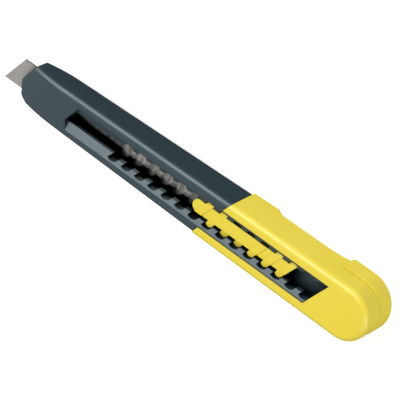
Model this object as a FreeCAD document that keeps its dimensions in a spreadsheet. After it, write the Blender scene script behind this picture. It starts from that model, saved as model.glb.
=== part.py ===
import FreeCAD, Part

import os
import Sketcher

# A slim snap-off knife for 9 mm blades. +X runs from the blade's tip to the tail, +Z is up out of
# the face that holds the slot, and the cutting edge is on the -Y side. The origin is under the
# middle of the knife, on the surface that it lies on. All sizes are in millimetres.

Vector = FreeCAD.Vector
document = FreeCAD.newDocument("snap_off_knife")

# Driving dimensions. Each "_x" is a place along the knife and each "_half" is measured from the
# middle plane. An edge that slants like the blade's snap lines is given where it crosses Y = 0.
DIMENSIONS = [
    ("slant", 0.57735, "run along X per mm of Y of every slanted edge: 60 degree snap lines"),
    ("pitch", 4.8, "distance between rack teeth"),
    ("face_z", 12.0, "dark face, around the slot"),
    ("nose_x", -57.95, "slanted front edge of the nose"),
    ("nose_half", 6.5, "half width of the body at the nose"),
    ("nose_bend_half", 1.0, "where the nose's front edge bends, on the cutting edge's side"),
    ("nose_low_x", -57.25, "front edge of the nose where its lower corner starts"),
    ("nose_low_half", 5.3, "how far from the middle plane that is"),
    ("nose_side_x", -54.5, "front end of the nose's straight side"),
    ("nose_corner", 2.0, "rounding of that corner, seen from above"),
    ("joint_x", 12.3, "slanted seam between the dark body and the grip"),
    ("joint_half", 7.5, "half width of the dark body at the seam"),
    ("nose_long", 17.0, "length of the nose's sloping stretch"),
    ("nose_drop", 2.9, "fall of the face over that stretch"),
    ("nose_rise", 4.2, "rise of the underside over that stretch"),
    ("nose_root_x", -43.6, "rear end of that stretch"),
    ("front_belly_z", 3.5, "underside of the body behind the nose"),
    ("joint_belly_z", 1.6, "underside of the body at the seam"),
    ("face_round", 1.7, "rounding of the long edges beside the face"),
    ("belly_round", 1.4, "rounding of the long edges of the underside"),
    ("rim_round", 0.3, "rounding of the edges around the nose's front"),
    ("core_tail_x", 53.4, "rear end of the body, inside the grip"),
    ("core_half", 6.0, "half width of the body inside the grip"),
    ("core_floor_z", 4.2, "underside of the body inside the grip"),
    ("core_roof_z", 11.15, "top of the body inside the grip"),
    ("rail_half", 4.6, "half width of the rails that rise into the grip's slot"),
    ("fit", 0.05, "clearance between parts that stay together"),
    ("skin", 0.02, "clearance between parts that are fixed together"),
    ("slot_front_x", -39.0, "front end of the slot"),
    ("slot_rear_x", 48.3, "rear end of the narrow slot between the racks"),
    ("corner_half", 1.4, "reach of the solid corner that closes the slot's front"),
    ("lip_half", 4.3, "half width of the slot at the face"),
    ("rack_half", 2.65, "half width between the tips of the two racks"),
    ("ledge_half", 2.0, "half width between the plain ledges ahead of the racks"),
    ("ledge_z", 10.8, "height of the ledges at their tips"),
    ("rack_under_z", 9.8, "underside of the racks"),
    ("gap_width", 2.88, "gap between two rack teeth, along X"),
    ("gap_half", 3.5, "reach of a rack gap's straight sides from the middle"),
    ("gap_round", 3.0, "radius of a rack gap's ends"),
    ("gap_count", 15, "rack gaps"),
    ("gap_first_x", -20.2, "middle of the first rack gap"),
    ("channel_floor_z", 7.5, "floor of the channel for the blade and slider"),
    ("channel_half", 4.75, "half width of that channel"),
    ("mouth_floor_z", 7.6, "floor of the blade's mouth in the nose"),
    ("mouth_roof_z", 8.25, "roof of the blade's mouth"),
    ("guide_front_x", -51.6, "front of the steel blade guide"),
    ("guide_rear_x", -40.6, "rear of the steel blade guide"),
    ("guide_half", 5.0, "half width of the blade guide's seat"),
    ("guide_floor_z", 7.3, "floor of the blade guide's seat"),
    ("guide_roof_z", 8.6, "roof of the blade guide's seat"),
    ("guide_sheet", 0.3, "sheet of the blade guide"),
    ("guide_lip", 1.4, "width of the blade guide's folded lips"),
    ("store_front_x", -32.6, "front end of the store for spare blades"),
    ("store_floor_z", 5.5, "floor of that store"),
    ("store_roof_z", 6.7, "roof of that store"),
    ("store_half", 4.8, "half width of that store"),
    ("latch_front_x", 39.4, "front end of the groove for the tail cap's tongue"),
    ("latch_half", 3.0, "half width of that groove"),
    ("latch_roof_z", 4.9, "roof of that groove"),
    ("grip_face_z", 12.4, "face of the yellow grip"),
    ("grip_front_half", 7.65, "half width of the grip at its front"),
    ("grip_tail_half", 8.05, "half width of the grip at the tail"),
    ("grip_tail_x", 65.1, "rear end of the grip"),
    ("grip_slot_half", 4.65, "half width of the slot in the grip"),
    ("grip_slot_rear_x", 48.5, "rear end of the slot in the grip"),
    ("grip_hollow_x", 61.7, "rear end of the hollow in the grip"),
    ("shoulder_z", 0.85, "underside of the shoulder at its front"),
    ("shoulder_low_z", 0.4, "underside of the shoulder at its rear"),
    ("shoulder_rear_x", 24.9, "rear end of the shoulder"),
    ("scoop_z", 1.75, "underside of the finger scoop"),
    ("scoop_front_x", 26.7, "front of the scoop's flat"),
    ("scoop_rear_x", 42.5, "rear of the scoop's flat"),
    ("swell_z", 0.75, "underside of the grip just ahead of the tail cap"),
    ("swell_round", 26.0, "radius of the grip's swell between the scoop and the tail cap"),
    ("cap_front_x", 49.7, "front of the tail cap"),
    ("cap_tail_x", 65.1, "rear end of the tail cap and of the knife"),
    ("cap_half", 8.55, "half width of the tail cap"),
    ("cap_corner", 0.8, "rounding of the tail cap's front corners"),
    ("cap_roof_z", 6.0, "seam between the grip and the tail cap"),
    ("cap_wall", 1.6, "floor of the tail cap"),
    ("cap_nick", 1.3, "slope at the front of the tail cap's underside"),
    ("blade_tip_x", -65.1, "tip of the blade"),
    ("blade_half", 4.5, "half width of the blade"),
    ("blade_long", 80.0, "length of the blade"),
    ("blade_sheet", 0.4, "thickness of the blade"),
    ("blade_z", 7.7, "underside of the blade"),
    ("blade_segment", 5.0, "distance between snap lines"),
    ("blade_segments", 13, "snap lines"),
    ("blade_bevel", 1.1, "width of the cutting edge's bevel"),
    ("blade_edge", 0.04, "thickness left at the cutting edge"),
    ("score_width", 0.24, "width of a snap line"),
    ("score_deep", 0.08, "depth of a snap line"),
    ("hole_x", 11.4, "hole in the blade's tail"),
    ("hole_round", 1.5, "radius of that hole"),
    ("spare_low_z", 5.6, "underside of the lower spare blade"),
    ("spare_step_z", 0.5, "rise to the upper spare blade"),
    ("spare_tip_x", -31.8, "tip of the spare blades"),
    ("carrier_front_x", 4.0, "front of the blade carrier"),
    ("carrier_rear_x", 36.9, "rear of the blade carrier"),
    ("carrier_half", 4.7, "half width of the blade carrier"),
    ("carrier_z", 8.15, "underside of the blade carrier"),
    ("carrier_sheet", 0.35, "sheet of the blade carrier"),
    ("rim_high_z", 9.7, "top of the carrier's guide rims"),
    ("notch_z", 8.65, "bottom of the notches in those rims"),
    ("peg_round", 1.35, "radius of the carrier's peg"),
    ("slider_front_x", 4.6, "front of the slider"),
    ("slider_rear_x", 38.4, "slanted rear end of the slider"),
    ("slider_half", 1.95, "half width of the slider between the racks"),
    ("web_z", 9.48, "underside of the lock plate"),
    ("web_top_z", 10.25, "top of the lock plate under the button"),
    ("tooth_top_z", 10.5, "top of the lock teeth"),
    ("tooth_half", 3.05, "reach of the lock teeth from the middle"),
    ("tooth_width", 2.3, "width of a lock tooth along X"),
    ("tooth_first_x", 8.6, "middle of the first lock tooth"),
    ("ear_half", 4.6, "reach of the ears that hold the lock plate in the carrier's notches"),
    ("ear_width", 1.5, "width of an ear along X"),
    ("ear_top_z", 9.76, "top of an ear"),
    ("button_top_z", 10.5, "top of the button"),
    ("rib_high", 0.25, "height of the button's ribs"),
    ("rib_long", 2.4, "length of a rib along X"),
    ("spring_sheet", 0.2, "sheet of the leaf spring"),
    ("spring_half", 1.2, "half width of the leaf spring"),
    ("spring_front_x", 10.4, "front end of the leaf spring"),
    ("spring_rear_x", 32.4, "rear end of the leaf spring"),
]

sheet = document.addObject("Spreadsheet::Sheet", "dims")
for row, (alias, number, meaning) in enumerate(DIMENSIONS, start=1):
    sheet.set(f"A{row}", str(number))
    sheet.setAlias(f"A{row}", alias)
    sheet.set(f"B{row}", meaning)
document.recompute()

FAR = 80.0  # reaches past the knife on every side
LAP = 0.4  # how far a pad or pocket reaches past the surface that it starts from

# Places along the slider, counted in rack teeth from its first tooth.
TOOTH_ROWS = [("low", -1, (1, 2, 3, 4, 5, 6)), ("high", 1, (0, 1, 5, 6))]
LOW_TEETH = (2, 3)
RIB_PLACES = (0, 4, 5, 6)
EAR_PLACES = (0.5, 4.5)


# --- helpers -------------------------------------------------------------------------------


def value(text):
    """The number that an expression over the sheet's aliases gives."""
    return float(sheet.evalExpression(text))


def in_sheet(text):
    """The same expression, as another object has to write it."""
    words, word = [], ""
    for letter in text + " ":
        if letter.isalnum() or letter in "_.":
            word += letter
            continue
        words.append(f"dims.{word}" if word in ALIASES else word)
        words.append(letter)
        word = ""
    return "".join(words).strip()


ALIASES = {alias for alias, number, meaning in DIMENSIONS}


def new_body(name):
    body = document.addObject("PartDesign::Body", name)
    body.Label = name
    return body


def new_sketch(body, name, plane, rise="0", turn=0.0):
    """A sketch on one of the body's origin planes, lifted by rise and turned about its own Y."""
    sketch = body.newObject("Sketcher::SketchObject", name)
    support = next(f for f in body.Origin.OriginFeatures if f.Role == plane)
    sketch.AttachmentSupport = [(support, "")]
    sketch.MapMode = "FlatFace"
    lifted = Vector(0, 0, value(rise))
    turned = FreeCAD.Rotation(Vector(0, 1, 0), turn)
    sketch.AttachmentOffset = FreeCAD.Placement(lifted, turned)
    sketch.setExpression("AttachmentOffset.Base.z", in_sheet(rise))
    return sketch


def arc_between(start, end, radius):
    """The short arc from start to end. A positive radius turns left on the way, a negative right."""
    chord = end - start
    left = Vector(-chord.y, chord.x, 0).normalize()
    rise = (radius**2 - (chord.Length / 2) ** 2) ** 0.5
    middle = (start + end) * 0.5 + left * (rise if radius > 0 else -rise)
    away = (start + end) * 0.5 - middle
    crown = middle + away.normalize() * abs(radius)
    return Part.Arc(start, crown, end)


def draw_outline(sketch, corners):
    """A closed outline. A corner is (x, y), or (x, y, radius) where an arc leads to the next."""
    places = [Vector(value(corner[0]), value(corner[1]), 0) for corner in corners]
    ends = []
    for n, corner in enumerate(corners):
        start, end = places[n], places[(n + 1) % len(corners)]
        if len(corner) == 2:
            edge = sketch.addGeometry(Part.LineSegment(start, end))
            ends.append((edge, 1, 2))
            continue
        turns_left = value(corner[2]) > 0
        edge = sketch.addGeometry(arc_between(start, end, value(corner[2])))
        ends.append((edge, 1, 2) if turns_left else (edge, 2, 1))
        size = sketch.addConstraint(Sketcher.Constraint("Radius", edge, abs(value(corner[2]))))
        sketch.setExpression(f"Constraints[{size}]", in_sheet(f"abs({corner[2]})"))
    for n, corner in enumerate(corners):
        edge, first, last = ends[n]
        after = ends[(n + 1) % len(corners)]
        sketch.addConstraint(Sketcher.Constraint("Coincident", edge, last, after[0], after[1]))
        for kind, text in (("DistanceX", corner[0]), ("DistanceY", corner[1])):
            size = sketch.addConstraint(
                Sketcher.Constraint(kind, -1, 1, edge, first, value(text))
            )
            sketch.setExpression(f"Constraints[{size}]", in_sheet(text))


def draw_box(sketch, left, right, low, high):
    draw_outline(sketch, [(left, low), (right, low), (right, high), (left, high)])


def draw_circle(sketch, x, y, radius):
    middle = Vector(value(x), value(y), 0)
    edge = sketch.addGeometry(Part.Circle(middle, Vector(0, 0, 1), value(radius)))
    for kind, text in (("DistanceX", x), ("DistanceY", y)):
        size = sketch.addConstraint(Sketcher.Constraint(kind, -1, 1, edge, 3, value(text)))
        sketch.setExpression(f"Constraints[{size}]", in_sheet(text))
    size = sketch.addConstraint(Sketcher.Constraint("Radius", edge, value(radius)))
    sketch.setExpression(f"Constraints[{size}]", in_sheet(radius))


def extrude(body, kind, name, sketch, length, midplane=False, reverse=False, along_x=False):
    """A Pad or Pocket of the sketch. It stops the build if it adds or removes nothing."""
    before = body.Tip.Shape.Volume if body.Tip else 0.0
    feature = body.newObject(f"PartDesign::{kind}", name)
    feature.Profile = sketch
    feature.setExpression("Length", in_sheet(length))
    feature.Midplane = midplane
    feature.Reversed = reverse
    if along_x:
        feature.UseCustomVector = True
        feature.AlongSketchNormal = False
        feature.Direction = Vector(1, 0, 0)
    sketch.Visibility = False
    document.recompute()
    change = feature.Shape.Volume - before
    made = feature.Shape.isValid() and "Invalid" not in feature.State
    if not made or (change if kind == "Pad" else -change) < 0.01:
        raise RuntimeError(f"{name} fails, and changes the volume by {change}")
    return feature


def pad(body, name, sketch, length, **ways):
    return extrude(body, "Pad", name, sketch, length, **ways)


def pocket(body, name, sketch, length, **ways):
    return extrude(body, "Pocket", name, sketch, length, **ways)


def repeat_along_x(body, feature, name, step, count):
    """Repeats one feature along the knife."""
    row = body.newObject("PartDesign::LinearPattern", name)
    row.Originals = [feature]
    along = next(f for f in body.Origin.OriginFeatures if f.Role == "X_Axis")
    row.Direction = (along, [""])
    row.Mode = "Spacing"
    row.setExpression("Offset", in_sheet(step))
    row.setExpression("Occurrences", in_sheet(count))
    body.Tip = row
    document.recompute()
    return row


def soften(body, kind, name, size, chosen):
    """A Fillet or Chamfer on the edges whose middle point and direction pass the test."""
    base = body.Tip
    names = []
    for number, edge in enumerate(base.Shape.Edges, start=1):
        middle = edge.valueAt((edge.FirstParameter + edge.LastParameter) / 2)
        way = edge.tangentAt((edge.FirstParameter + edge.LastParameter) / 2)
        if chosen(middle, way, edge):
            names.append(f"Edge{number}")
    feature = body.newObject(f"PartDesign::{kind}", name)
    feature.Base = (base, names)
    feature.setExpression("Radius" if kind == "Fillet" else "Size", in_sheet(size))
    document.recompute()
    if "Invalid" in feature.State or not feature.Shape.isValid():
        raise RuntimeError(f"{name} fails on {names}")
    return feature


def on_slant(cross, half):
    """The X of a slanted edge at Y = half."""
    return f"{cross} + ({half}) * slant"


# --- dark body -----------------------------------------------------------------------------


def make_body_core():
    """The dark body: nose, slot with its two racks, blade channel and spare blade store."""
    body = new_body("body_core")
    sketch = new_sketch(body, "core_outline", "XY_Plane")
    corners = [
        (on_slant("nose_x", "nose_half"), "nose_half"),
        (on_slant("nose_x", "-nose_bend_half"), "-nose_bend_half"),
        ("nose_low_x", "-nose_low_half"),
        ("nose_side_x", "-nose_half"),
        (on_slant("joint_x", "-joint_half"), "-joint_half"),
        (on_slant("joint_x", "-core_half"), "-core_half"),
        ("core_tail_x", "-core_half"),
        ("core_tail_x", "core_half"),
        (on_slant("joint_x", "core_half"), "core_half"),
        (on_slant("joint_x", "joint_half"), "joint_half"),
    ]
    draw_outline(sketch, corners)
    pad(body, "core_block", sketch, "face_z")

    # The face's arc starts level at the nose's root, and the underside's on the belly's slope.
    front = "nose_root_x - nose_long"
    face_arc = "-(nose_long ^ 2 + nose_drop ^ 2) / (2 * nose_drop)"
    belly_fall = "((front_belly_z - joint_belly_z) / (joint_x + 5 - nose_root_x))"
    belly_arc = (
        f"(nose_long ^ 2 + nose_rise ^ 2) * sqrt(1 + {belly_fall} ^ 2)"
        f" / (2 * (nose_rise - nose_long * {belly_fall}))"
    )
    sketch = new_sketch(body, "nose_slope_profile", "XZ_Plane")
    slope = [
        (front, "face_z - nose_drop", face_arc),
        ("nose_root_x", "face_z"),
        ("nose_root_x", "face_z + 3"),
        (front, "face_z + 3"),
    ]
    draw_outline(sketch, slope)
    pocket(body, "nose_slope", sketch, f"{FAR}", midplane=True)

    sketch = new_sketch(body, "belly_profile", "XZ_Plane")
    belly = [
        (front, "-1"),
        (front, "front_belly_z + nose_rise", belly_arc),
        ("nose_root_x", "front_belly_z"),
        ("joint_x + 5", "joint_belly_z"),
        ("joint_x + 5", "-1"),
    ]
    draw_outline(sketch, belly)
    pocket(body, "belly", sketch, f"{FAR}", midplane=True)

    def at_nose_corner(middle, way, edge):
        return middle.x < value("nose_side_x") + 0.5 and middle.y < -2 and abs(way.z) > 0.99

    def beside_belly(middle, way, edge):
        return is_long_outer_edge(middle, way) and middle.z < value("blade_z") + 0.5

    def beside_face(middle, way, edge):
        return is_long_outer_edge(middle, way) and middle.z > value("blade_z") + 0.5

    cut_grip_seat(body)
    soften(body, "Fillet", "nose_corners", "nose_corner", at_nose_corner)
    soften(body, "Fillet", "belly_edges", "belly_round", beside_belly)
    soften(body, "Fillet", "face_edges", "face_round", beside_face)
    round_nose_rim(body)
    cut_inner_spaces(body)
    cut_slot_and_racks(body)
    return body


def is_long_outer_edge(middle, way):
    """True on the four long edges of the dark body, from the nose to the grip's seam."""
    ahead_of_seam = middle.x < value("joint_x") - 5
    beside_nose = middle.y < -4.0 and middle.x < value("nose_side_x") + 0.5
    runs_along = abs(middle.y) > value("nose_half") - 0.3 and abs(way.x) > 0.9
    return ahead_of_seam and abs(way.z) < 0.6 and (runs_along or beside_nose)


def round_nose_rim(body):
    """Breaks the edges around the front of the nose."""

    def on_rim(middle, way, edge):
        return middle.x < value("nose_side_x") + 0.5 and edge.Length > 1.0

    soften(body, "Fillet", "nose_rim", "rim_round", on_rim)


def cut_grip_seat(body):
    """Thins the rear of the body so that the grip slides over it, but for the rack rails."""
    beyond = on_slant("joint_x", f"-{FAR}")
    beyond_top = on_slant("joint_x", f"{FAR}")
    sketch = new_sketch(body, "seat_floor_outline", "XY_Plane")
    field = [(beyond, f"-{FAR}"), (f"{FAR}", f"-{FAR}"), (f"{FAR}", f"{FAR}"), (beyond_top, f"{FAR}")]
    draw_outline(sketch, field)
    pocket(body, "seat_floor", sketch, "core_floor_z", reverse=True)
    for side, name in ((-1, "low"), (1, "high")):
        inner, outer = f"{side} * rail_half", f"{side} * {FAR}"
        sketch = new_sketch(body, f"seat_roof_outline_{name}", "XY_Plane", "core_roof_z")
        field = [
            (on_slant("joint_x", inner), inner),
            (f"{FAR}", inner),
            (f"{FAR}", outer),
            (on_slant("joint_x", outer), outer),
        ]
        draw_outline(sketch, field if side > 0 else field[::-1])
        pocket(body, f"seat_roof_{name}", sketch, "face_z", reverse=True)
    sketch = new_sketch(body, "rail_end_outline", "XY_Plane", "core_roof_z")
    field = [
        (on_slant("grip_slot_rear_x - fit", f"-{FAR}"), f"-{FAR}"),
        (f"{2 * FAR}", f"-{FAR}"),
        (f"{2 * FAR}", f"{FAR}"),
        (on_slant("grip_slot_rear_x - fit", f"{FAR}"), f"{FAR}"),
    ]
    draw_outline(sketch, field)
    pocket(body, "rail_end", sketch, "face_z", reverse=True)


def cut_inner_spaces(body):
    """The blade's mouth, guide seat, channel, spare blade store and latch groove."""
    spaces = [
        ("mouth", f"-{FAR}", "slot_front_x", "mouth_floor_z", "mouth_roof_z", "channel_half"),
        ("guide_seat", "guide_front_x", "guide_rear_x", "guide_floor_z", "guide_roof_z", "guide_half"),
        ("channel", "slot_front_x", f"{FAR}", "channel_floor_z", "rack_under_z", "channel_half"),
        ("store", "store_front_x", f"{FAR}", "store_floor_z", "store_roof_z", "store_half"),
        ("latch_groove", "latch_front_x", f"{FAR}", "core_floor_z - 1", "latch_roof_z", "latch_half"),
    ]
    for name, front, rear, low, high, half in spaces:
        sketch = new_sketch(body, f"{name}_profile", "XZ_Plane")
        draw_box(sketch, front, rear, low, high)
        pocket(body, name, sketch, f"2 * {half}", midplane=True)


def cut_slot_and_racks(body):
    """The slot: a narrow middle, ramps down to it from both lips, and slanted rack gaps."""
    stretches = [
        ("ledge_middle", "slot_front_x", "ledge_half"),
        ("rack_middle", "gap_first_x", "rack_half"),
    ]
    for name, front, half in stretches:
        sketch = new_sketch(body, f"{name}_outline", "XY_Plane", "channel_floor_z + 1")
        middle = [
            (on_slant(front, f"-{half}"), f"-{half}"),
            (on_slant("slot_rear_x", f"-{half}"), f"-{half}"),
            (on_slant("slot_rear_x", half), half),
            (on_slant(front, half), half),
        ]
        draw_outline(sketch, middle)
        pocket(body, name, sketch, "face_z", reverse=True)

    # The ramps' section lies in a plane turned to the slant, so its widths grow by 1 / cos(30).
    sketch = new_sketch(body, "ramp_section", "YZ_Plane", "slot_front_x", turn=-30.0)
    widen = "1.1547"
    section = [
        (f"-{widen} * ledge_half", "ledge_z"),
        (f"{widen} * ledge_half", "ledge_z"),
        (f"{widen} * lip_half", "face_z"),
        (f"{widen} * lip_half", "face_z + 2"),
        (f"-{widen} * lip_half", "face_z + 2"),
        (f"-{widen} * lip_half", "face_z"),
    ]
    draw_outline(sketch, section)
    pocket(body, "ramps", sketch, "slot_rear_x - slot_front_x", along_x=True)

    # A solid corner closes the front of the slot on the cutting edge's side.
    sketch = new_sketch(body, "slot_corner_outline", "XY_Plane", "rack_under_z")
    root = f"-lip_half - {LAP}"
    corner = [
        (on_slant(f"slot_front_x - {LAP}", root), root),
        (f"slot_front_x + {LAP}", root),
        (on_slant("slot_front_x", "-corner_half"), "-corner_half"),
        (on_slant(f"slot_front_x - {LAP}", "-corner_half"), "-corner_half"),
    ]
    draw_outline(sketch, corner)
    pad(body, "slot_corner", sketch, "face_z - rack_under_z")

    sketch = new_sketch(body, "rack_gap_outline", "XY_Plane", "channel_floor_z + 1")
    left, right = "gap_first_x - gap_width / 2", "gap_first_x + gap_width / 2"
    gap = [
        (on_slant(left, "-gap_half"), "-gap_half", "gap_round"),
        (on_slant(right, "-gap_half"), "-gap_half"),
        (on_slant(right, "gap_half"), "gap_half", "gap_round"),
        (on_slant(left, "gap_half"), "gap_half"),
    ]
    draw_outline(sketch, gap)
    first = pocket(body, "rack_gap", sketch, "face_z", reverse=True)
    repeat_along_x(body, first, "rack_gaps", "pitch", "gap_count")


# --- yellow grip ---------------------------------------------------------------------------


def make_grip_sleeve():
    """The yellow grip, a sleeve that slides over the body's rear, open along the slot."""
    body = new_body("grip_sleeve")
    sketch = new_sketch(body, "grip_outline", "XY_Plane")
    corners = [
        (on_slant("joint_x + fit", "-grip_front_half"), "-grip_front_half"),
        ("grip_tail_x", "-grip_tail_half"),
        ("grip_tail_x", "grip_tail_half"),
        (on_slant("joint_x + fit", "grip_front_half"), "grip_front_half"),
    ]
    draw_outline(sketch, corners)
    pad(body, "grip_block", sketch, "grip_face_z")

    def at_tail_corner(middle, way, edge):
        return middle.x > value("grip_tail_x") - 0.1 and abs(way.z) > 0.9

    soften(body, "Fillet", "tail_corners", "grip_tail_half - 0.1", at_tail_corner)

    sketch = new_sketch(body, "grip_belly_profile", "XZ_Plane")
    belly = [
        ("0", "-1"),
        ("0", "shoulder_z"),
        ("joint_x", "shoulder_z"),
        ("shoulder_rear_x", "shoulder_low_z"),
        ("scoop_front_x", "scoop_z"),
        ("scoop_rear_x", "scoop_z", "-swell_round"),
        ("cap_front_x - fit", "swell_z"),
        ("cap_front_x - fit", "cap_roof_z + fit"),
        (f"{FAR}", "cap_roof_z + fit"),
        (f"{FAR}", "-1"),
    ]
    draw_outline(sketch, belly)
    pocket(body, "grip_belly", sketch, f"{FAR}", midplane=True)

    def on_long_edge(middle, way, edge):
        at_tail = middle.x > value("grip_tail_x - grip_tail_half")
        outside = abs(middle.y) > value("grip_front_half") - 0.3 or at_tail
        return outside and abs(way.z) < 0.9 and abs(way.y) < 0.999

    def beside_belly(middle, way, edge):
        ahead_of_cap = middle.x < value("cap_front_x") - 0.3
        return on_long_edge(middle, way, edge) and middle.z < 3.0 and ahead_of_cap

    def beside_face(middle, way, edge):
        return on_long_edge(middle, way, edge) and middle.z > value("grip_face_z") - 0.1

    soften(body, "Fillet", "grip_belly_edges", "belly_round", beside_belly)
    soften(body, "Fillet", "grip_face_edges", "face_round", beside_face)
    cut_grip_hollow(body)
    return body


def cut_grip_hollow(body):
    """The room for the body's rear, the hollow tail and the slot, which opens to the front."""
    spaces = [
        ("bore", "0", "core_tail_x + fit", "core_floor_z - fit", "core_roof_z + fit"),
        ("tail_hollow", "cap_front_x", "grip_hollow_x", "cap_roof_z - 1", "core_roof_z + fit"),
    ]
    for name, front, rear, low, high in spaces:
        sketch = new_sketch(body, f"{name}_profile", "XZ_Plane")
        draw_box(sketch, front, rear, low, high)
        half = "core_half + fit" if name == "bore" else "core_half - cap_wall"
        pocket(body, name, sketch, f"2 * ({half})", midplane=True)
    sketch = new_sketch(body, "grip_slot_outline", "XY_Plane", "core_roof_z - 0.5")
    slot = [
        ("0", "-grip_slot_half"),
        (on_slant("grip_slot_rear_x", "-grip_slot_half"), "-grip_slot_half"),
        (on_slant("grip_slot_rear_x", "grip_slot_half"), "grip_slot_half"),
        ("0", "grip_slot_half"),
    ]
    draw_outline(sketch, slot)
    pocket(body, "grip_slot", sketch, "face_z", reverse=True)


# --- tail cap ------------------------------------------------------------------------------


def make_tail_cap():
    """The yellow cap under the tail, with a tongue that latches it under the body."""
    body = new_body("tail_cap")
    sketch = new_sketch(body, "cap_outline", "XY_Plane")
    draw_box(sketch, "cap_front_x", "cap_tail_x", "-cap_half", "cap_half")
    pad(body, "cap_block", sketch, "cap_roof_z")

    def at_tail_corner(middle, way, edge):
        return middle.x > value("cap_tail_x") - 0.1 and abs(way.z) > 0.9

    def at_front_corner(middle, way, edge):
        return middle.x < value("cap_front_x") + 0.1 and abs(way.z) > 0.9

    def under_rim(middle, way, edge):
        return middle.z < 0.1 and middle.x > value("cap_front_x") + 0.1

    soften(body, "Fillet", "cap_tail_corners", "cap_half - 0.1", at_tail_corner)
    soften(body, "Fillet", "cap_front_corners", "cap_corner", at_front_corner)
    soften(body, "Fillet", "cap_rim", "belly_round", under_rim)
    sketch = new_sketch(body, "cap_slope_profile", "XZ_Plane")
    slope = [
        ("cap_front_x - cap_nick", "-cap_nick"),
        ("cap_front_x + 2 * cap_nick", "-cap_nick"),
        ("cap_front_x - cap_nick", "2 * cap_nick"),
    ]
    draw_outline(sketch, slope)
    pocket(body, "cap_slope", sketch, "4 * cap_half", midplane=True)
    spaces = [
        ("cap_room", "cap_front_x - 1", "core_tail_x + 3 * fit", "core_floor_z - fit", "core_half + fit"),
        ("cap_hollow", "core_tail_x", "grip_hollow_x", "cap_wall", "core_half - cap_wall"),
    ]
    for name, front, rear, low, half in spaces:
        sketch = new_sketch(body, f"{name}_profile", "XZ_Plane")
        draw_box(sketch, front, rear, low, "cap_roof_z + 1")
        pocket(body, name, sketch, f"2 * ({half})", midplane=True)
    tongue = [
        ("tongue", "latch_front_x + 1", "core_tail_x", "core_floor_z + fit", "latch_roof_z - fit"),
        ("tongue_root", "cap_front_x", "core_tail_x", "core_floor_z - 0.3", "core_floor_z + 0.2"),
    ]
    for name, front, rear, low, high in tongue:
        sketch = new_sketch(body, f"{name}_profile", "XZ_Plane")
        draw_box(sketch, front, rear, low, high)
        pad(body, name, sketch, "2 * (latch_half - 0.1)", midplane=True)
    return body


# --- blades --------------------------------------------------------------------------------


def make_blade(name, tip_x, low_z):
    """A 9 mm blade: slanted ends, a bevelled cutting edge, a hole and a row of snap lines."""
    body = new_body(name)
    sketch = new_sketch(body, f"{name}_outline", "XY_Plane", low_z)
    start = f"{tip_x} + blade_half * slant"
    outline = [
        (on_slant(start, "-blade_half"), "-blade_half"),
        (f"{tip_x} + blade_long", "-blade_half"),
        (f"{tip_x} + blade_long", "blade_half"),
        (on_slant(start, "blade_half"), "blade_half"),
    ]
    draw_outline(sketch, outline)
    draw_circle(sketch, f"{tip_x} - blade_tip_x + hole_x", "0", "hole_round")
    pad(body, f"{name}_sheet", sketch, "blade_sheet")

    sketch = new_sketch(body, f"{name}_bevel_section", "YZ_Plane", f"{tip_x} - {LAP}")
    top, edge = f"{low_z} + blade_sheet", f"{low_z} + blade_sheet / 2"
    inner, outer = "-blade_half + blade_bevel", f"-blade_half - {LAP}"
    bevels = [
        [(inner, top), (outer, f"{top} + {LAP}"), ("-blade_half", f"{edge} + blade_edge / 2")],
        [(inner, low_z), ("-blade_half", f"{edge} - blade_edge / 2"), (outer, f"{low_z} - {LAP}")],
    ]
    for bevel in bevels:
        draw_outline(sketch, bevel)
    pocket(body, f"{name}_bevel", sketch, "blade_long + 10", reverse=True)

    sketch = new_sketch(body, f"{name}_score_outline", "XY_Plane", top)
    near, far = "-blade_half - 1", "blade_half + 1"
    line = f"{start} + blade_segment"
    score = [
        (on_slant(line, near), near),
        (on_slant(f"{line} + score_width", near), near),
        (on_slant(f"{line} + score_width", far), far),
        (on_slant(line, far), far),
    ]
    draw_outline(sketch, score)
    first = pocket(body, f"{name}_score", sketch, "score_deep")
    repeat_along_x(body, first, f"{name}_scores", "blade_segment", "blade_segments")
    return body


def make_spare_blades():
    """Two spare blades in the store, grouped as one sub-part."""
    lower = make_blade("spare_lower", "spare_tip_x", "spare_low_z")
    upper = make_blade("spare_upper", "spare_tip_x", "spare_low_z + spare_step_z")
    group = document.addObject("Part::Compound", "spare_blades")
    group.Label = "spare_blades"
    group.Links = [lower, upper]
    return group


# --- blade guide, carrier, spring and slider -----------------------------------------------


def make_nose_guide():
    """A folded steel channel that steadies the blade inside the nose."""
    body = new_body("nose_guide")
    sketch = new_sketch(body, "guide_section", "YZ_Plane", "guide_front_x + 2 * fit")
    wide, low, high = "guide_half - fit", "guide_floor_z + fit", "guide_roof_z - fit"
    inner, lip = f"{wide} - guide_sheet", f"{wide} - guide_lip"
    section = [
        (f"-({wide})", low),
        (wide, low),
        (wide, high),
        (lip, high),
        (lip, f"{high} - guide_sheet"),
        (inner, f"{high} - guide_sheet"),
        (inner, f"{low} + guide_sheet"),
        (f"-({inner})", f"{low} + guide_sheet"),
        (f"-({inner})", f"{high} - guide_sheet"),
        (f"-({lip})", f"{high} - guide_sheet"),
        (f"-({lip})", high),
        (f"-({wide})", high),
    ]
    draw_outline(sketch, section)
    pad(body, "guide_channel", sketch, "guide_rear_x - guide_front_x - 4 * fit")
    return body


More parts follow.
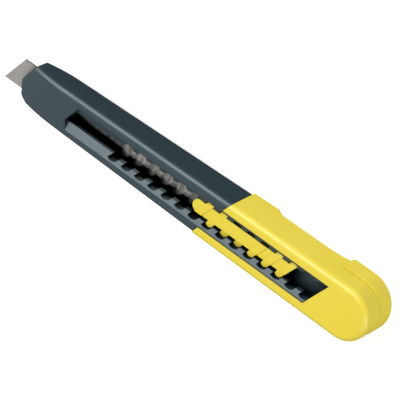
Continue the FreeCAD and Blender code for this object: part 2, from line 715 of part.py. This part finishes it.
def make_blade_carrier():
    """The steel carrier: a plate with a peg for the blade, and notched rims that hold the slider."""
    body = new_body("blade_carrier")
    sketch = new_sketch(body, "carrier_outline", "XY_Plane", "carrier_z")
    draw_box(sketch, "carrier_front_x", "carrier_rear_x", "-carrier_half", "carrier_half")
    pad(body, "carrier_plate", sketch, "carrier_sheet")
    sketch = new_sketch(body, "peg_outline", "XY_Plane", "blade_z - skin")
    draw_circle(sketch, "hole_x", "0", "peg_round")
    pad(body, "peg", sketch, "carrier_z - blade_z + 2 * skin")
    for side, name in ((-1, "low"), (1, "high")):
        sketch = new_sketch(body, f"rim_outline_{name}", "XY_Plane", "carrier_z")
        inner, outer = f"{side} * (carrier_half - carrier_sheet)", f"{side} * carrier_half"
        low, high = (outer, inner) if side < 0 else (inner, outer)
        draw_box(sketch, "carrier_front_x", "carrier_rear_x", low, high)
        pad(body, f"rim_{name}", sketch, "rim_high_z - carrier_z")
        for place in EAR_PLACES:
            notch = ear_outline(side, place, "ear_half - 1.0", f"carrier_half + {LAP}", "4 * fit")
            sketch = new_sketch(body, f"notch_outline_{name}_{round(place)}", "XY_Plane", "notch_z")
            draw_outline(sketch, notch)
            pocket(body, f"notch_{name}_{round(place)}", sketch, "rim_high_z", reverse=True)
    return body


def make_lock_spring():
    """The bowed leaf spring that lifts the lock plate off the carrier."""
    body = new_body("lock_spring")
    sketch = new_sketch(body, "spring_profile", "XZ_Plane")
    seat = "carrier_z + carrier_sheet + skin"
    bow = "(web_z - carrier_z - carrier_sheet - spring_sheet - 5 * skin)"
    crown = f"(spring_rear_x - spring_front_x) ^ 2 / (8 * {bow})"
    profile = [
        ("spring_front_x", seat, f"-({crown})"),
        ("spring_rear_x", seat),
        ("spring_rear_x", f"{seat} + spring_sheet", f"{crown}"),
        ("spring_front_x", f"{seat} + spring_sheet"),
    ]
    draw_outline(sketch, profile)
    pad(body, "spring_leaf", sketch, "2 * spring_half", midplane=True)
    return body


def slanted_bar(middle, width, side, root, tip, rounding=None):
    """A slanted bar's outline on one side, from one half width to another, with a round tip or not."""
    left, right = f"{middle} - ({width}) / 2", f"{middle} + ({width}) / 2"
    near, far = f"{side} * ({root})", f"{side} * ({tip})"
    end = (f"{side} * ({rounding})",) if rounding else ()
    return [
        (on_slant(right, near), near),
        (on_slant(right, far), far) + end,
        (on_slant(left, far), far),
        (on_slant(left, near), near),
    ]


def ear_outline(side, place, root, tip, margin="0"):
    """The outline of an ear, or with a margin of its notch. They hide under the rack teeth."""
    middle = f"tooth_first_x + {place} * pitch"
    return slanted_bar(middle, f"ear_width + {margin}", side, root, tip)


def slider_outline(half, margin="0"):
    """The slider's outline at a half width: a round front and a slanted rear end."""
    front, rear = f"slider_front_x + {margin}", f"slider_rear_x - {margin}"
    return [
        (f"{front} + {half}", f"-({half})"),
        (on_slant(rear, f"-({half})"), f"-({half})"),
        (on_slant(rear, half), half),
        (f"{front} + {half}", half, f"{half} + skin"),
    ]


def make_lock_plate():
    """The yellow plate under the button, with slanted teeth that stand in the rack gaps."""
    body = new_body("lock_plate")
    sketch = new_sketch(body, "web_outline", "XY_Plane", "web_z")
    draw_outline(sketch, slider_outline("slider_half"))
    pad(body, "web", sketch, "web_top_z - web_z")
    for name, side, places in TOOTH_ROWS:
        for place in places:
            middle = f"tooth_first_x + {place} * pitch"
            tip = "tooth_width * 0.6"
            tooth = slanted_bar(middle, "tooth_width", side, "slider_half", "tooth_half", tip)
            sketch = new_sketch(body, f"tooth_outline_{name}_{place}", "XY_Plane", "web_z")
            draw_outline(sketch, tooth)
            top = "web_top_z" if place in LOW_TEETH else "tooth_top_z"
            pad(body, f"tooth_{name}_{place}", sketch, f"{top} - web_z")
        for place in EAR_PLACES:
            sketch = new_sketch(body, f"ear_outline_{name}_{round(place)}", "XY_Plane", "web_z")
            draw_outline(sketch, ear_outline(side, place, "slider_half", "ear_half"))
            pad(body, f"ear_{name}_{round(place)}", sketch, "ear_top_z - web_z")
    return body


def make_thumb_button():
    """The yellow button between the racks, with slanted ribs for the thumb."""
    body = new_body("thumb_button")
    half = "slider_half - skin"
    sketch = new_sketch(body, "button_outline", "XY_Plane", "web_top_z + skin")
    draw_outline(sketch, slider_outline(half, "skin"))
    pad(body, "button_block", sketch, "button_top_z - web_top_z - skin")
    for place in RIB_PLACES:
        middle = f"tooth_first_x + {place} * pitch"
        sketch = new_sketch(body, f"rib_outline_{place}", "XY_Plane", "button_top_z")
        draw_outline(sketch, slanted_bar(middle, "rib_long", 1, f"-({half})", half))
        pad(body, f"rib_{place}", sketch, "rib_high")
    return body


# --- build and export ----------------------------------------------------------------------

sub_parts = [
    make_body_core(),
    make_grip_sleeve(),
    make_tail_cap(),
    make_blade("cutting_blade", "blade_tip_x", "blade_z"),
    make_spare_blades(),
    make_nose_guide(),
    make_blade_carrier(),
    make_lock_spring(),
    make_lock_plate(),
    make_thumb_button(),
]
document.recompute()

for thing in document.Objects:
    if "Invalid" in thing.State or "Error" in thing.State:
        raise RuntimeError(f"{thing.Label} is {thing.State}")

os.makedirs("parts", exist_ok=True)
for sub_part in sub_parts:
    if sub_part.Shape.isNull() or not sub_part.Shape.isValid():
        raise RuntimeError(f"{sub_part.Label} has no valid shape")
    sub_part.Placement = FreeCAD.Placement(Vector(0, 0, 0), FreeCAD.Rotation())
    sub_part.Shape.exportStep(f"parts/{sub_part.Label}.step")
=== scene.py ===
from math import cos, pi, radians, sin

import bmesh
import bpy
from mathutils import Matrix, Vector


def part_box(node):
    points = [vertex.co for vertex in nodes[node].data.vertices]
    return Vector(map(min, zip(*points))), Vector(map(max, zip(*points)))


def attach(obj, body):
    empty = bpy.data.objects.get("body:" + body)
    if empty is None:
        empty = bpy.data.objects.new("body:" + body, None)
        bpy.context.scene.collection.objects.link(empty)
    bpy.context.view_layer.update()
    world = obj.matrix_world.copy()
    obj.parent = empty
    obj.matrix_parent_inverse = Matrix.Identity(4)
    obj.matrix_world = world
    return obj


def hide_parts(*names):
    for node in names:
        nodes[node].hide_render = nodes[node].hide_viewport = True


# A snap-off knife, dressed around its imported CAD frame. Lengths are in metres, in the CAD frame:
# +X from the blade's tip to the tail, +Y towards the back of the blade, +Z out of the slot's face.

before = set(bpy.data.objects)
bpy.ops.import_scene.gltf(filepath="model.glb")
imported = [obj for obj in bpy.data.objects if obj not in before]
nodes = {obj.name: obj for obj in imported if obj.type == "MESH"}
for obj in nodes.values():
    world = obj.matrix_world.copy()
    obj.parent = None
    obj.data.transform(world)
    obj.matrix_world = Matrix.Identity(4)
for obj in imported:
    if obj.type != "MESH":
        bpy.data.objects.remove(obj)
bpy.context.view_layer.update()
MM = 0.001
WELD = 2e-6                 # closer vertices than this are one


# --- camera and light ------------------------------------------------------------------------

CAMERA_AWAY = Vector((0.3922, 0.5428, 0.743)).normalized()      # from the knife to the camera
CAMERA_DISTANCE = 0.7048
CAMERA_START = Vector((-25.4, 0, 12)) * MM  # a point on the knife's face
CAMERA_ALONG = 0.02962      # the middle of the picture from there, along the knife as it is seen
CAMERA_ACROSS = 0.001825    # and across it
CAMERA_LEAN = 0.0204        # how far the direction along turns from the knife's own
CAMERA_ROLL = radians(34.5)
CAMERA_LENS = 236.5
CAMERA_CLIP = 0.01
SENSOR = 36.0

AMBIENT = 0.15              # the room's light on matt surfaces
CEILING_REFLECTED = 0.9     # and what glossy surfaces see of it
GROUND_REFLECTED = 0.0
HORIZON = (-0.05, 0.25)     # heights between which the ground turns into the ceiling
KEY_RADIANCE = 6.2
TOP_RADIANCE = 0.75
TAIL_RADIANCE = 5.0
LIGHT_DISTANCE = 1.5

FLOOR_HALF = 1.5
FLOOR_DROP = 0.0002         # below the knife's underside
FLOOR_GREY = 0.6
FLOOR_GLOW = 0.62
FLOOR_ROUGHNESS = 0.9


def aim(thing, place, away, along):
    """Puts a camera or light at place, looking back along away, with its own X as near as can be to along."""
    away = away.normalized()
    side = (along - away * along.dot(away)).normalized()
    turned = Matrix((side, away.cross(side), away)).transposed().to_4x4()
    thing.matrix_world = Matrix.Translation(place) @ turned


def turn(right, up, angle):
    """Two axes at right angles, turned by an angle in their own plane."""
    return right * cos(angle) + up * sin(angle), up * cos(angle) - right * sin(angle)


def add_camera():
    data = bpy.data.cameras.new("camera")
    data.lens = CAMERA_LENS
    data.sensor_width = SENSOR
    data.clip_start = CAMERA_CLIP
    camera = bpy.data.objects.new("camera", data)
    bpy.context.collection.objects.link(camera)
    bpy.context.scene.camera = camera
    level = (Vector((1, 0, 0)) - CAMERA_AWAY * CAMERA_AWAY.x).normalized()
    along, across = turn(level, CAMERA_AWAY.cross(level), CAMERA_LEAN)
    right, _ = turn(along, across, CAMERA_ROLL)
    middle = CAMERA_START + along * CAMERA_ALONG + across * CAMERA_ACROSS
    aim(camera, middle + CAMERA_AWAY * CAMERA_DISTANCE, CAMERA_AWAY, right)


def add_softbox(name, away, size, radiance, glossy=True):
    """A soft rectangular light of a given radiance, with its length along the knife."""
    data = bpy.data.lights.new(name, "AREA")
    data.shape = "RECTANGLE"
    data.size, data.size_y = size
    data.energy = radiance * pi * data.size * data.size_y
    light = bpy.data.objects.new(name, data)
    bpy.context.collection.objects.link(light)
    away = Vector(away).normalized()
    aim(light, away * LIGHT_DISTANCE, away, Vector((1, 0, 0)))
    light.visible_glossy = glossy


def add_world():
    """A dim room, which shows as a pale ceiling and a dark ground in glossy surfaces."""
    world = bpy.data.worlds.new("studio")
    bpy.context.scene.world = world
    world.use_nodes = True
    tree = world.node_tree
    tree.nodes.clear()
    out = tree.nodes.new("ShaderNodeOutputWorld")
    back = tree.nodes.new("ShaderNodeBackground")
    where = tree.nodes.new("ShaderNodeTexCoord")
    split = tree.nodes.new("ShaderNodeSeparateXYZ")
    ceiling = tree.nodes.new("ShaderNodeMapRange")
    ray = tree.nodes.new("ShaderNodeLightPath")
    choose = tree.nodes.new("ShaderNodeMix")
    ceiling.inputs["From Min"].default_value, ceiling.inputs["From Max"].default_value = HORIZON
    ceiling.inputs["To Min"].default_value = GROUND_REFLECTED
    ceiling.inputs["To Max"].default_value = CEILING_REFLECTED
    choose.inputs["A"].default_value = AMBIENT
    tree.links.new(where.outputs["Generated"], split.inputs["Vector"])
    tree.links.new(split.outputs["Z"], ceiling.inputs["Value"])
    tree.links.new(ray.outputs["Is Glossy Ray"], choose.inputs["Factor"])
    tree.links.new(ceiling.outputs["Result"], choose.inputs["B"])
    tree.links.new(choose.outputs["Result"], back.inputs["Strength"])
    tree.links.new(back.outputs["Background"], out.inputs["Surface"])


def add_floor():
    """A pale floor that glows a little, and that glossy surfaces don't see."""
    corners = [(-1, -1), (1, -1), (1, 1), (-1, 1)]
    mesh = bpy.data.meshes.new("floor")
    mesh.from_pydata([(x * FLOOR_HALF, y * FLOOR_HALF, 0) for x, y in corners], [], [(0, 1, 2, 3)])
    floor = bpy.data.objects.new("floor", mesh)
    bpy.context.collection.objects.link(floor)
    floor.location.z = -FLOOR_DROP
    material = bpy.data.materials.new("pale_floor")
    material.use_nodes = True
    shader = material.node_tree.nodes["Principled BSDF"]
    shader.inputs["Base Color"].default_value = (FLOOR_GREY, FLOOR_GREY, FLOOR_GREY, 1)
    shader.inputs["Emission Color"].default_value = (1, 1, 1, 1)
    shader.inputs["Emission Strength"].default_value = FLOOR_GLOW
    shader.inputs["Roughness"].default_value = FLOOR_ROUGHNESS
    mesh.materials.append(material)
    floor.visible_glossy = False


# --- materials -------------------------------------------------------------------------------

INSIDE_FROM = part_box("nose_guide")[0][0]    # the blade is out in the open ahead of this
DARK = (0.019, 0.034, 0.040, 1)
DARK_PALE = (0.025, 0.041, 0.048, 1)
DARK_SHEEN = (0.86, 0.96, 1, 1)
YELLOW = (0.60, 0.48, 0.035, 1)
YELLOW_PALE = (0.64, 0.52, 0.06, 1)
BLADE_STEEL = (0.52, 0.5, 0.47, 1)
SPRING_STEEL = (0.5, 0.5, 0.5, 1)


class Shader:
    """A material's node tree, with short ways to add and join nodes."""

    def __init__(self, name):
        self.material = bpy.data.materials.new(name)
        self.material.use_nodes = True
        self.tree = self.material.node_tree
        self.base = self.tree.nodes["Principled BSDF"]
        self.where = self.add("ShaderNodeTexCoord").outputs["Object"]

    def add(self, kind, **values):
        """A new node, with values for its sockets and settings."""
        node = self.tree.nodes.new(kind)
        for key, value in values.items():
            if key in node.inputs:
                self.feed(node.inputs[key], value)
            else:
                setattr(node, key, value)
        return node

    def feed(self, socket, value):
        """Gives a socket a plain value or the output of another node."""
        if isinstance(value, bpy.types.NodeSocket):
            self.tree.links.new(value, socket)
        else:
            socket.default_value = value

    def surface(self, key, value):
        self.feed(self.base.inputs[key], value)

    def stretched(self, scale):
        return self.add("ShaderNodeMapping", Vector=self.where, Scale=scale).outputs["Vector"]

    def noise(self, scale, detail, roughness, where=None):
        node = self.add(
            "ShaderNodeTexNoise", Vector=where or self.where, Scale=scale, Detail=detail, Roughness=roughness,
        )
        return node.outputs["Fac"]

    def along_x(self):
        """The place along the knife."""
        return self.add("ShaderNodeSeparateXYZ", Vector=self.where).outputs["X"]

    def remap(self, value, low, high, to_low, to_high):
        node = self.add("ShaderNodeMapRange", Value=value)
        for key, number in (("From Min", low), ("From Max", high), ("To Min", to_low), ("To Max", to_high)):
            self.feed(node.inputs[key], number)
        return node.outputs["Result"]

    def mix(self, share, a, b, kind="RGBA"):
        """A colour, or with kind FLOAT a number, that goes from a to b as share goes from 0 to 1."""
        node = self.add("ShaderNodeMix", data_type=kind)
        socket_type = "VALUE" if kind == "FLOAT" else kind
        self.feed(next(s for s in node.inputs if s.name == "Factor"), share)
        for key, value in (("A", a), ("B", b)):
            self.feed(next(s for s in node.inputs if s.name == key and s.type == socket_type), value)
        return next(s for s in node.outputs if s.type == socket_type)

    def cavity(self, reach, own):
        """1 on an open face, towards 0 in a deep recess of the piece itself, or of all of them."""
        node = self.add("ShaderNodeAmbientOcclusion", samples=8, only_local=own, Distance=reach)
        return node.outputs["AO"]

    def bump(self, height, strength, distance):
        node = self.add("ShaderNodeBump", Height=height, Strength=strength, Distance=distance)
        return node.outputs["Normal"]


def darker(colour, share):
    return [part * share for part in colour[:3]] + [1]


def moulded_plastic(name, colour, pale, roughness, grain, own=True, reach=0.005, shut=0.45, clear=0.84):
    """Moulded plastic: cloudy colour, a fine eroded grain, faint scuffs, and painted shade in recesses.

    shut and clear are how open a recess is where the painted shade is darkest, and where it is gone and the
    colour is as pale as the face. The painted shade also turns down the specular level in recesses.
    """
    s = Shader(name)
    # Painted shade: ambient occlusion darkens the colour in recesses, down to 8 % of it, and turns down the
    # specular level there.
    free_of_painted_shade = s.remap(s.cavity(reach, own), shut, clear, 0.0, 1.0)
    cloud = s.noise(scale=90, detail=4, roughness=0.55)
    colour_before_painted_shade = s.mix(s.remap(cloud, 0.35, 0.7, 0.0, 0.35), colour, pale)
    s.surface("Base Color", s.mix(free_of_painted_shade, darker(colour, 0.08), colour_before_painted_shade))
    scuff = s.noise(scale=700, detail=5, roughness=0.6, where=s.stretched((0.25, 1, 1)))
    worn = s.remap(scuff, 0.3, 0.7, roughness - 0.05, roughness + 0.07)
    s.surface("Roughness", s.mix(free_of_painted_shade, 0.8, worn, "FLOAT"))
    s.surface("Specular IOR Level", s.remap(free_of_painted_shade, 0.0, 1.0, 0.05, 0.5))
    fine = s.noise(scale=5200, detail=2, roughness=0.5)
    s.surface("Normal", s.bump(fine, strength=grain, distance=0.03 * MM))
    return s.material


def dark_plastic():
    """The body's plastic, with a bluish sheen."""
    material = moulded_plastic("dark_plastic", DARK, DARK_PALE, roughness=0.34, grain=0.25, own=False)
    material.node_tree.nodes["Principled BSDF"].inputs["Specular Tint"].default_value = DARK_SHEEN
    return material


def yellow_plastic(name, roughness, **recess):
    return moulded_plastic(name, YELLOW, YELLOW_PALE, roughness, grain=0.15, **recess)


def ground_steel(name, colour, roughness, inside_blotching=0.0):
    """Ground steel: fine grinding lines, darker blotches on the part inside the knife, and painted shade in
    recesses.
    """
    s = Shader(name)
    lines = s.noise(scale=2200, detail=3, roughness=0.6, where=s.stretched((1, 0.05, 1)))
    ground = s.mix(lines, colour, darker(colour, 0.85))
    # Darker cloudy blotches on the part of the blade behind the nose guide's front, which lies inside the
    # knife at rest.
    inside = s.remap(s.along_x(), INSIDE_FROM, INSIDE_FROM + 2 * MM, 0.0, inside_blotching)
    cloud = s.noise(scale=900, detail=2, roughness=0.5, where=s.stretched((1, 0.35, 1)))
    blotched = s.mix(s.remap(cloud, 0.40, 0.62, 0.0, inside), ground, darker(colour, 0.15))
    # Painted shade: ambient occlusion from all pieces darkens the steel's colour nearly to black in recesses.
    free_of_painted_shade = s.remap(s.cavity(6 * MM, own=False), 0.40, 0.85, 0.0, 1.0)
    s.surface("Base Color", s.mix(free_of_painted_shade, darker(colour, 0.04), blotched))
    s.surface("Roughness", s.remap(lines, 0.3, 0.7, roughness - 0.04, roughness + 0.06))
    s.surface("Metallic", 1.0)
    s.surface("Normal", s.bump(lines, strength=0.2, distance=0.01 * MM))
    return s.material


def dress(name, material):
    """Puts a material on a CAD node as it is."""
    for slot in nodes[name].material_slots:
        slot.material = material


# --- pieces ----------------------------------------------------------------------------------
# The places in this section are in millimetres.

FLAT = 0.6                  # degrees between triangles of one flat face
SHARP = 22.0                # degrees between the faces of an edge that is rounded
CREASE = 40.0               # and of one that stays a crease in the shading
SMOOTH = 180.0
SLOT_EDGE_ROUND = 0.1
SLOT_EDGE_LOW = 10.6        # the slot's edges are above this
SLOT_EDGE_HALF = 4.4        # and nearer the middle plane
SLOT_EDGE_FRONT = -44.0     # and behind this
GRIP_ROUND = 0.16
CAP_ROUND = 0.1
CAP_RIM_LOW = 5.9           # the cap's outer rim is above this
CAP_RIM_HALF = 6.5          # and further out
CAP_RIM_TAIL = 58.0         # or behind this
PLATE_TOP = 10.3            # the lock plate is kept up to here
LOBE_LOW = 10.2             # and from here up is part of the button
LOBE_ROOT_HALF = 2.0        # what is nearer the middle plane is drawn in
LOBE_ROOT_SHARE = 0.85
BUTTON_VOXEL = 0.07
BUTTON_RELAX = (0.5, 8)     # strength and rounds
BUTTON_KEPT = 0.3           # share of the faces
CUT_REACH = 1e-7            # metres from the cut at which a vertex counts as on it


def clean_copy(name):
    """A CAD node's mesh in a bmesh, with the triangles of each flat face joined into one."""
    shape = bmesh.new()
    shape.from_mesh(nodes[name].data)
    bmesh.ops.remove_doubles(shape, verts=shape.verts, dist=WELD)
    bmesh.ops.dissolve_limit(shape, angle_limit=radians(FLAT), verts=shape.verts, edges=shape.edges)
    return shape


def round_edges(shape, radius, chosen, segments=3):
    """Rounds the sharp edges whose middle point passes the test."""
    edges = []
    for edge in shape.edges:
        middle = (edge.verts[0].co + edge.verts[1].co) / 2 / MM
        if edge.is_manifold and edge.calc_face_angle(0) > radians(SHARP) and chosen(middle):
            edges.append(edge)
    bmesh.ops.bevel(
        shape, geom=edges, offset=radius * MM, offset_type="OFFSET", segments=segments,
        profile=0.5, affect="EDGES", clamp_overlap=True,
    )


def cut_at(shape, height, keep_below):
    """Cuts the solid at a height, and closes the cut."""
    cut = bmesh.ops.bisect_plane(
        shape, geom=shape.verts[:] + shape.edges[:] + shape.faces[:], dist=CUT_REACH,
        plane_co=(0, 0, height * MM), plane_no=(0, 0, 1),
        clear_outer=keep_below, clear_inner=not keep_below,
    )
    rim = [e for e in cut["geom_cut"] if isinstance(e, bmesh.types.BMEdge)]
    bmesh.ops.holes_fill(shape, edges=rim)


def add_object(shape, name):
    """Makes the bmesh into an object."""
    mesh = bpy.data.meshes.new(name)
    shape.to_mesh(mesh)
    shape.free()
    piece = bpy.data.objects.new(name, mesh)
    bpy.context.collection.objects.link(piece)
    return piece


def bake(piece):
    """Applies a piece's modifiers."""
    graph = bpy.context.evaluated_depsgraph_get()
    final = bpy.data.meshes.new_from_object(piece.evaluated_get(graph), depsgraph=graph)
    piece.modifiers.clear()
    piece.data = final


def finish_piece(shape, name, body, stands_for, material, crease=CREASE):
    """Makes the bmesh into a piece with even shading that rides on a body and stands for a CAD node."""
    for face in shape.faces:
        face.smooth = True
    for edge in shape.edges:
        edge.smooth = not edge.is_manifold or edge.calc_face_angle(0) < radians(crease)
    piece = add_object(shape, name)
    piece.data.materials.append(material)
    normals = piece.modifiers.new("even_shading", "WEIGHTED_NORMAL")
    normals.keep_sharp = True
    bake(piece)
    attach(piece, body)
    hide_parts(stands_for)


def build_dark_body(material):
    def at_slot(middle):
        return middle.z > SLOT_EDGE_LOW and abs(middle.y) < SLOT_EDGE_HALF and middle.x > SLOT_EDGE_FRONT

    shape = clean_copy("body_core")
    round_edges(shape, SLOT_EDGE_ROUND, at_slot, segments=2)
    finish_piece(shape, "dark_body", "handle", "body_core", material)


def build_grip(material):
    shape = clean_copy("grip_sleeve")
    round_edges(shape, GRIP_ROUND, lambda middle: True)
    finish_piece(shape, "grip", "handle", "grip_sleeve", material)


def build_cap(material):
    def at_rim(middle):
        return middle.z > CAP_RIM_LOW and (abs(middle.y) > CAP_RIM_HALF or middle.x > CAP_RIM_TAIL)

    shape = clean_copy("tail_cap")
    round_edges(shape, CAP_ROUND, at_rim)
    finish_piece(shape, "cap", "tail_cap", "tail_cap", material)


def build_slider_plate(material):
    shape = clean_copy("lock_plate")
    cut_at(shape, PLATE_TOP, keep_below=True)
    finish_piece(shape, "slider_plate", "slide_button", "lock_plate", material)


def build_button(material):
    """The button, joined softly with the lobes that carry its ribs over the lock plate's teeth."""
    rough = clean_copy("lock_plate")
    cut_at(rough, LOBE_LOW, keep_below=False)
    for vert in rough.verts:
        if abs(vert.co.y) < LOBE_ROOT_HALF * MM:
            vert.co.y *= LOBE_ROOT_SHARE
    rough.from_mesh(nodes["thumb_button"].data)
    bmesh.ops.triangulate(rough, faces=rough.faces)
    piece = add_object(rough, "button_rough")
    remesh = piece.modifiers.new("join", "REMESH")
    remesh.mode = "VOXEL"
    remesh.voxel_size = BUTTON_VOXEL * MM
    relax = piece.modifiers.new("relax", "SMOOTH")
    relax.factor, relax.iterations = BUTTON_RELAX
    thin = piece.modifiers.new("thin", "DECIMATE")
    thin.ratio = BUTTON_KEPT
    bake(piece)
    shape = bmesh.new()
    shape.from_mesh(piece.data)
    bpy.data.objects.remove(piece)
    finish_piece(shape, "button", "slide_button", "thumb_button", material, crease=SMOOTH)


# --- the scene -------------------------------------------------------------------------------

add_camera()
add_world()
add_floor()
add_softbox("key", (-0.39, 0.54, 0.75), (1.5, 1.15), KEY_RADIANCE)
add_softbox("top_light", (0.1, -0.35, 0.93), (1.2, 1.2), TOP_RADIANCE, glossy=False)
add_softbox("tail_light", (0.9, -0.25, 0.45), (1.0, 0.9), TAIL_RADIANCE)

build_dark_body(dark_plastic())
build_grip(yellow_plastic("yellow_plastic", 0.36))
build_cap(yellow_plastic("yellow_cap_plastic", 0.36))
build_slider_plate(yellow_plastic("slider_plastic", 0.33, own=False, reach=0.006, shut=0.3, clear=0.8))
build_button(yellow_plastic("button_plastic", 0.33, reach=0.0015, shut=0.1, clear=0.5))
for name in ("cutting_blade", "spare_blades"):
    dress(name, ground_steel(f"{name}_steel", BLADE_STEEL, roughness=0.12, inside_blotching=0.6))
for name in ("nose_guide", "blade_carrier", "lock_spring"):
    dress(name, ground_steel(f"{name}_steel", SPRING_STEEL, roughness=0.35))

bpy.context.scene.view_settings.view_transform = "Standard"
